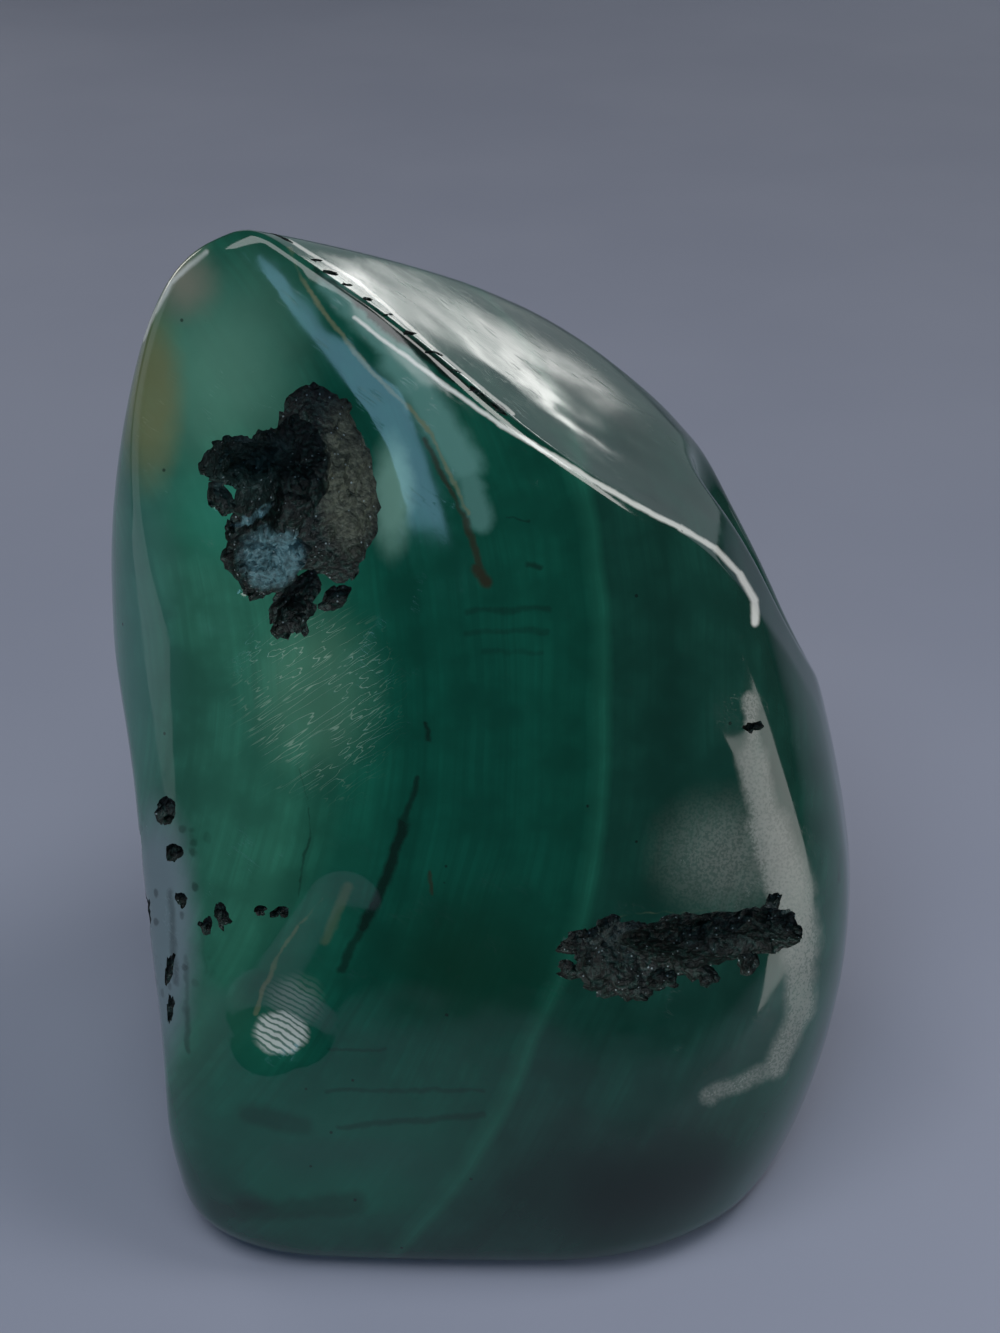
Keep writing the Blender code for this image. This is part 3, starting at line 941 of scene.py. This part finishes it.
def banded_colour(tree, point, clouds):
    """The greens with their broad and fine bands."""
    bands = place_group(tree, GROWTH_BANDS, {"Point": point, "Centre": GROWTH_CENTRE, "Waver": 1.6})
    fine = ramp(tree, bands["Fine"], 0.3, 0.7, -0.09, 0.09)
    fine = sums(tree, "MULTIPLY", fine, ramp(tree, clouds, 0.35, 0.62))
    tone = sums(tree, "ADD", fine, ramp(tree, bands["Broad"], 0.3, 0.7, 0.86, 1.14))
    tone = sums(tree, "MULTIPLY", tone, ramp(tree, clouds, 0.3, 0.7, 0.85, 1.15))
    colour = green_scale(tree, bands["Distance"])
    return node(tree, "HueSaturation", {"Color": colour, "Value": tone}).outputs["Color"]


def marked(tree, colour, point):
    """The colour with its patches and lines laid over it."""
    for middle, size, soft, tint, strength in PATCHES.values():
        mask = place_group(tree, PATCH, {"Point": point, "Middle": middle, "Size": size, "Soft": soft})["Mask"]
        colour = blend(tree, sums(tree, "MULTIPLY", mask, strength), colour, (*tint, 1))
    # Of these lines, the pale olive ones are painted highlights along edges.
    for lines, tint in ((HAZE_LINES, HAZE), (EDGE_HIGHLIGHT_LINES, EDGE_HIGHLIGHT), (BROWN_LINES, BROWN), (DARK_LINES, DARK)):
        colour = blend(tree, lines_mask(tree, point, lines), colour, (*tint, 1))
    return colour


def polished_finish(material):
    tree, shader = start_material(material)
    point = millimetres(tree)
    loose = shaken(tree, point, WOBBLE_PER_MM, WOBBLE_REACH)
    clouds = node(tree, "TexNoise", {"Vector": point, "Scale": 0.35, "Detail": 4.0}).outputs[0]
    colour = marked(tree, banded_colour(tree, point, clouds), loose)
    # Painted highlights: near-white lines along the ridge and the upper left rim.
    steady = shaken(tree, point, WOBBLE_PER_MM, STEADY_REACH)
    colour = blend(tree, lines_mask(tree, steady, PAINTED_HIGHLIGHT_LINES), colour, (*PAINTED_HIGHLIGHT, 1))

    top = ramp(tree, above_face(tree, point, "top"), -0.9, -0.4)
    haze = {"Point": loose, "Middle": (-10.5, -11.0, 36.0), "Size": (6.0, 6.0, 8.0), "Soft": 0.7}
    haze = place_group(tree, PATCH, haze)["Mask"]
    fine = place_group(tree, SCRATCHES, {"Point": point, "Turn": (0.3, -0.6, 0.2), "Share": 0.45})["Mask"]
    rising = {"Point": point, "Turn": (0.0, 0.66, 0.0), "Long": 0.05, "Fine": 3.0, "Share": 0.66}
    rising = sums(tree, "MULTIPLY", place_group(tree, SCRATCHES, rising)["Mask"], haze)
    scuffs = {"Point": point, "Turn": (0.0, -0.56, 0.21), "Long": 0.08, "Fine": 2.0, "Share": 0.6}
    scuffs = sums(tree, "MULTIPLY", place_group(tree, SCRATCHES, scuffs)["Mask"], top)
    specks = place_group(tree, SPECKS, {"Point": point, "PerMm": 0.7, "Size": 0.1, "Share": 0.12})["Mask"]
    flank = {"Point": loose, "Middle": (-19.5, -13.5, 22.5), "Size": (4.5, 6.0, 10.0), "Soft": 0.6}
    flank = place_group(tree, PATCH, flank)["Mask"]
    mottle = place_group(tree, SPECKS, {"Point": loose, "PerMm": 1.1, "Size": 0.42, "Share": 0.35})["Mask"]
    mottle = sums(tree, "MULTIPLY", mottle, flank)
    # The tall highlight on the lower right is painted in as a grainy cream wash, and the same mask makes the
    # polish there rougher.
    scuffed_and_highlight = {"Point": loose, "Middle": (14.0, -14.0, 26.8), "Size": (6.0, 4.0, 5.5), "Soft": 0.95}
    scuffed_and_highlight = sums(tree, "MULTIPLY", place_group(tree, PATCH, scuffed_and_highlight)["Mask"], 0.55)
    scuffed_and_highlight = sums(tree, "MAXIMUM", lines_mask(tree, loose, SCUFF_HIGHLIGHT_LINES), scuffed_and_highlight)
    grain = node(tree, "TexNoise", {"Vector": point, "Scale": 6.0, "Detail": 5.0}).outputs[0]
    scuffed_and_highlight = sums(tree, "MULTIPLY", scuffed_and_highlight, ramp(tree, grain, 0.38, 0.6, 0.55, 1.0))
    # A striped highlight at the lower end of the channel is painted in as near-white, and the same mask makes that
    # spot duller.
    ground = {"Point": loose, "Middle": (-12.9, -18.2, 16.7), "Size": (2.0, 1.8, 1.5), "Soft": 0.3}
    ground = place_group(tree, PATCH, ground)["Mask"]
    streaks = {"Point": loose, "Middle": (-12.0, -17.6, 18.8), "Size": (2.4, 2.4, 2.2), "Soft": 0.8}
    ground = sums(tree, "MAXIMUM", sums(tree, "MULTIPLY", place_group(tree, PATCH, streaks)["Mask"], 0.3), ground)
    along = vector_sums(tree, "DOT_PRODUCT", loose, STRIPES, out="Value")
    stripes = ramp(tree, sums(tree, "SINE", along), -0.95, 0.2, 0.2, 1.0)
    ground = sums(tree, "MULTIPLY", ground, stripes)
    dish = {"Point": loose, "Middle": (-15.0, -1.5, 50.0), "Size": (9.0, 7.0, 9.0), "Soft": 0.4}
    dish = place_group(tree, PATCH, dish)["Mask"]
    colour = blend(tree, sums(tree, "MULTIPLY", rising, 0.7), colour, (0.3, 0.46, 0.33, 1))
    colour = blend(tree, sums(tree, "MULTIPLY", specks, 0.7), colour, (*DARK, 1))
    colour = blend(tree, sums(tree, "MULTIPLY", mottle, 0.55), colour, (*DARK, 1))
    colour = blend(tree, sums(tree, "MULTIPLY", scuffed_and_highlight, 0.6), colour, (*SCUFF_HIGHLIGHT, 1))
    colour = blend(tree, sums(tree, "MULTIPLY", ground, 0.6), colour, (*PAINTED_HIGHLIGHT, 1))
    fill(tree, shader.inputs["Base Color"], colour)

    gloss = ramp(tree, clouds, 0.35, 0.75, 0.05, 0.11)
    for mask, duller in ((fine, 0.15), (rising, 0.3), (scuffs, 0.12), (top, 0.1), (haze, 0.1), (dish, 0.15), (flank, 0.15), (scuffed_and_highlight, 0.35), (ground, 0.4)):
        gloss = sums(tree, "ADD", gloss, sums(tree, "MULTIPLY", mask, duller))
    fill(tree, shader.inputs["Roughness"], gloss)
    waves = node(tree, "TexNoise", {"Vector": point, "Scale": 0.22, "Detail": 1.0}).outputs[0]
    height = sums(tree, "SUBTRACT", sums(tree, "MULTIPLY", waves, 0.05), sums(tree, "MULTIPLY", fine, 0.002))
    height = sums(tree, "SUBTRACT", height, sums(tree, "MULTIPLY", rising, 0.008))
    bump = node(tree, "Bump", {"Height": height, "Distance": MM, "Strength": 1.0})
    fill(tree, shader.inputs["Normal"], bump.outputs["Normal"])
    shader.inputs["IOR"].default_value = POLISH_INDEX
    return tree


print("The polish has", len(polished_finish(polished).nodes), "nodes")

# %% [markdown]
# ## The broken malachite
#
# Where the stone broke it has no polish, so light scatters from thousands of small crystal faces. Most of
# them look nearly black. A few glint blue, and these glints are painted into the colour as pale blue
# specks and patches, with a painted sparkle in the lower break. On the side wall of the upper
# break a brown grey crust lies over the green.

# %% Mix the broken malachite
BREAK_PATCHES = {
    "crust_wall": ((-8.2, -4.0, 47.5), (2.8, 4.0, 6.5), 0.5, (0.120, 0.135, 0.092), 0.95),
    "grey_recess": ((-14.8, -2.0, 47.5), (3.5, 4.0, 3.5), 0.6, (0.035, 0.080, 0.075), 0.8),
    # Painted glints: pale blue on the step and the ledge of the upper break.
    "step_blue_glint": ((-13.2, -4.5, 42.3), (2.6, 2.6, 2.4), 0.4, (0.170, 0.340, 0.380), 0.9),
    "ledge_blue_glint": ((-14.8, -3.0, 44.7), (1.8, 2.4, 0.4), 0.5, (0.200, 0.420, 0.480), 0.9),
    # Painted sparkle: lighter grains on the left of the lower break.
    "fissure_left_sparkle": ((7.5, -16.4, 22.3), (2.2, 2.5, 1.8), 0.6, (0.060, 0.095, 0.085), 0.6),
    "fissure_right": ((16.5, -14.5, 24.2), (2.0, 2.5, 1.6), 0.6, (0.070, 0.090, 0.080), 0.6),
}
GLINT = (0.40, 0.50, 0.52)


def broken_finish(material):
    tree, shader = start_material(material)
    point = millimetres(tree)
    loose = shaken(tree, point, 1.5, 0.8)
    grains = node(tree, "TexNoise", {"Vector": point, "Scale": 3.0, "Detail": 5.0}).outputs[0]
    colour = blend(tree, ramp(tree, grains, 0.42, 0.68), (0.004, 0.008, 0.007, 1), (0.020, 0.050, 0.042, 1))
    rough_tone = ramp(tree, grains, 0.36, 0.64, 0.45, 1.0)
    for middle, size, soft, tint, strength in BREAK_PATCHES.values():
        mask = place_group(tree, PATCH, {"Point": loose, "Middle": middle, "Size": size, "Soft": soft})["Mask"]
        mask = sums(tree, "MULTIPLY", sums(tree, "MULTIPLY", mask, strength), rough_tone)
        colour = blend(tree, mask, colour, (*tint, 1))
    # Painted glints: pale blue specks on a share of the grains.
    glints = place_group(tree, SPECKS, {"Point": point, "PerMm": 5.0, "Size": 0.4, "Share": 0.07})["Mask"]
    colour = blend(tree, sums(tree, "MULTIPLY", glints, 0.7), colour, (*GLINT, 1))
    fill(tree, shader.inputs["Base Color"], colour)
    fill(tree, shader.inputs["Roughness"], ramp(tree, grains, 0.3, 0.7, 0.6, 0.35))
    height = sums(tree, "MULTIPLY", grains, 0.3)
    bump = node(tree, "Bump", {"Height": height, "Distance": MM, "Strength": 1.0})
    fill(tree, shader.inputs["Normal"], bump.outputs["Normal"])
    return tree


print("The break has", len(broken_finish(broken).nodes), "nodes")

# %% [markdown]
# ## Floor and light
#
# A polished stone is mostly a picture of the lights around it, so each panel is placed by what
# it is mirrored in: a long white panel behind for the top face, a blue one high in front for the
# narrow facet, and a low card at the right for the tall highlight. A larger panel overhead gives
# the even light. The floor is plain and pale.

# %% Place the lights
def soft_panel(name, place, size, brightness, colour, aim=(0, 0, 35)):
    """A soft panel of light. place, size and aim are in millimetres, and brightness is per area."""
    light = bpy.data.lights.new(name, "AREA")
    light.shape = "RECTANGLE"
    light.size, light.size_y = size[0] * MM, size[1] * MM
    light.energy = brightness * math.pi * light.size * light.size_y
    light.color = colour
    lamp = bpy.data.objects.new(name, light)
    lamp.location = Vector(place) * MM
    lamp.rotation_euler = (Vector(aim) - Vector(place)).to_track_quat("-Z", "Y").to_euler()
    lamp.visible_camera = False
    bpy.context.scene.collection.objects.link(lamp)
    return lamp


soft_panel("window_behind", (150, 465, 156), (120, 42), 4.4, (1, 0.99, 0.96))
soft_panel("wall_behind", (150, 600, 140), (700, 240), 0.3, (0.8, 0.92, 1))
soft_panel("sky_high", (-60, -160, 430), (360, 240), 2.9, (0.96, 0.98, 1))
soft_panel("roof_light", (210, 20, 400), (150, 150), 5.0, (1, 0.99, 0.97))
soft_panel("sky_front", (-90, -335, 285), (150, 115), 2.6, (0.35, 0.7, 1))
soft_panel("left_wall", (-420, -60, 120), (300, 260), 0.45, (0.85, 0.92, 1))
soft_panel("left_behind", (-330, 310, 130), (220, 130), 3.0, (1, 0.98, 0.92))
soft_panel("right_card", (95, -60, 32), (90, 60), 1.6, (1, 0.98, 0.96), aim=(18, -12, 28))

WORLD_COLOUR = (0.55, 0.6, 0.7)
WORLD_STRENGTH = 0.04


def dim_world():
    world = bpy.data.worlds.new("studio")
    world.use_nodes = True
    background = world.node_tree.nodes["Background"]
    background.inputs["Color"].default_value = (*WORLD_COLOUR, 1)
    background.inputs["Strength"].default_value = WORLD_STRENGTH
    bpy.context.scene.world = world


dim_world()
bpy.context.scene.view_settings.view_transform = "Standard"

# %% Lay the floor
FLOOR_HALF_SIZE = 1500.0
FLOOR_COLOUR = (0.33, 0.355, 0.46)


def pale_floor():
    shape = bmesh.new()
    bmesh.ops.create_grid(shape, x_segments=1, y_segments=1, size=FLOOR_HALF_SIZE * MM)
    finish = bpy.data.materials.new("pale_floor")
    tree, shader = start_material(finish)
    point = millimetres(tree)
    mottle = node(tree, "TexNoise", {"Vector": point, "Scale": 0.02, "Detail": 3.0}).outputs[0]
    colour = blend(tree, ramp(tree, mottle, 0.3, 0.7), (*FLOOR_COLOUR, 1), (0.35, 0.375, 0.48, 1))
    fill(tree, shader.inputs["Base Color"], colour)
    shader.inputs["Roughness"].default_value = 0.8
    return piece_of("floor", shape, finish)


floor = pale_floor()
print("The floor is", 2 * FLOOR_HALF_SIZE * MM, "m wide")

# %% Hand the stone over
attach(stone, "root")
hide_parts("malachite_stone")
